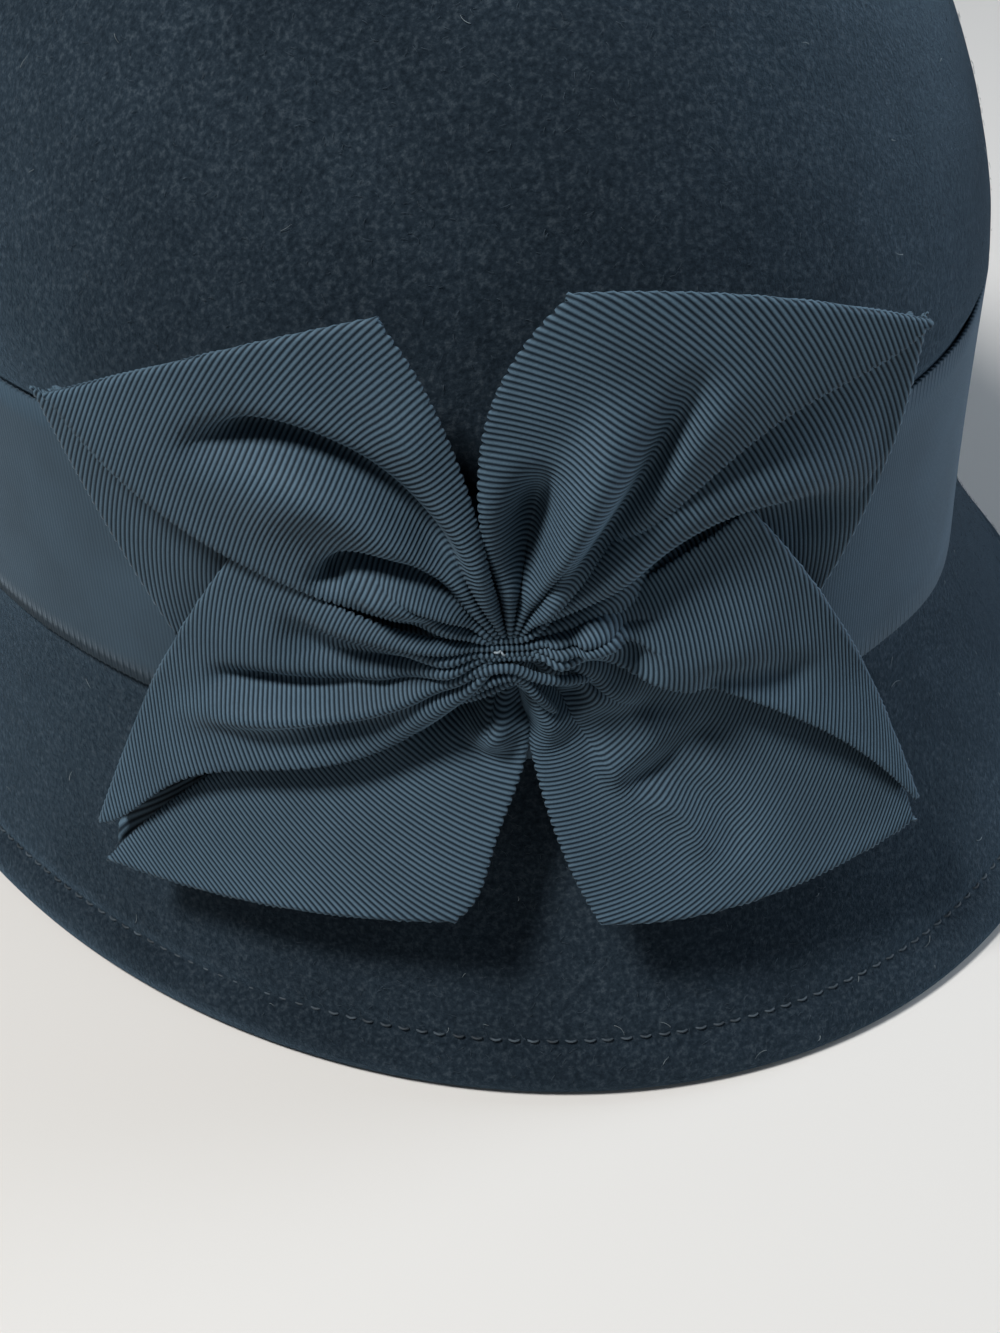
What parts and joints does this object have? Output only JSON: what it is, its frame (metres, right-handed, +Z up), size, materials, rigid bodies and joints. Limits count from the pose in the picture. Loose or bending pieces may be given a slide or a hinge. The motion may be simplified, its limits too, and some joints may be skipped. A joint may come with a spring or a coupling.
{
  "type": "cloche hat",
  "caption": "Black wool felt cloche hat with a steep bell-shaped brim, a ribbon band round the crown and a pleated ribbon bow sewn on at the front side",
  "frame": {"origin": "on the surface that the brim rests on, at the middle of the hat's box", "axes": "+Z up; -Y towards the front of the hat, +Y to the back; +X towards the wearer's left side"},
  "size_m": [0.2086, 0.2634, 0.176],
  "materials": {
    "felt": "matt black wool felt with a fine nap",
    "band_ribbon": "slate grey petersham ribbon, fine ribs",
    "bow_ribbon": "dark slate petersham ribbon, clear ribs and picot edges"
  },
  "bodies": {
    "root": {"felt_body": "felt", "band": "band_ribbon", "bow_loop_upper_left": "bow_ribbon", "bow_loop_upper_right": "bow_ribbon", "bow_loop_lower_left": "bow_ribbon", "bow_loop_lower_right": "bow_ribbon", "bow_gather": "bow_ribbon"}
  },
  "joints": []
}
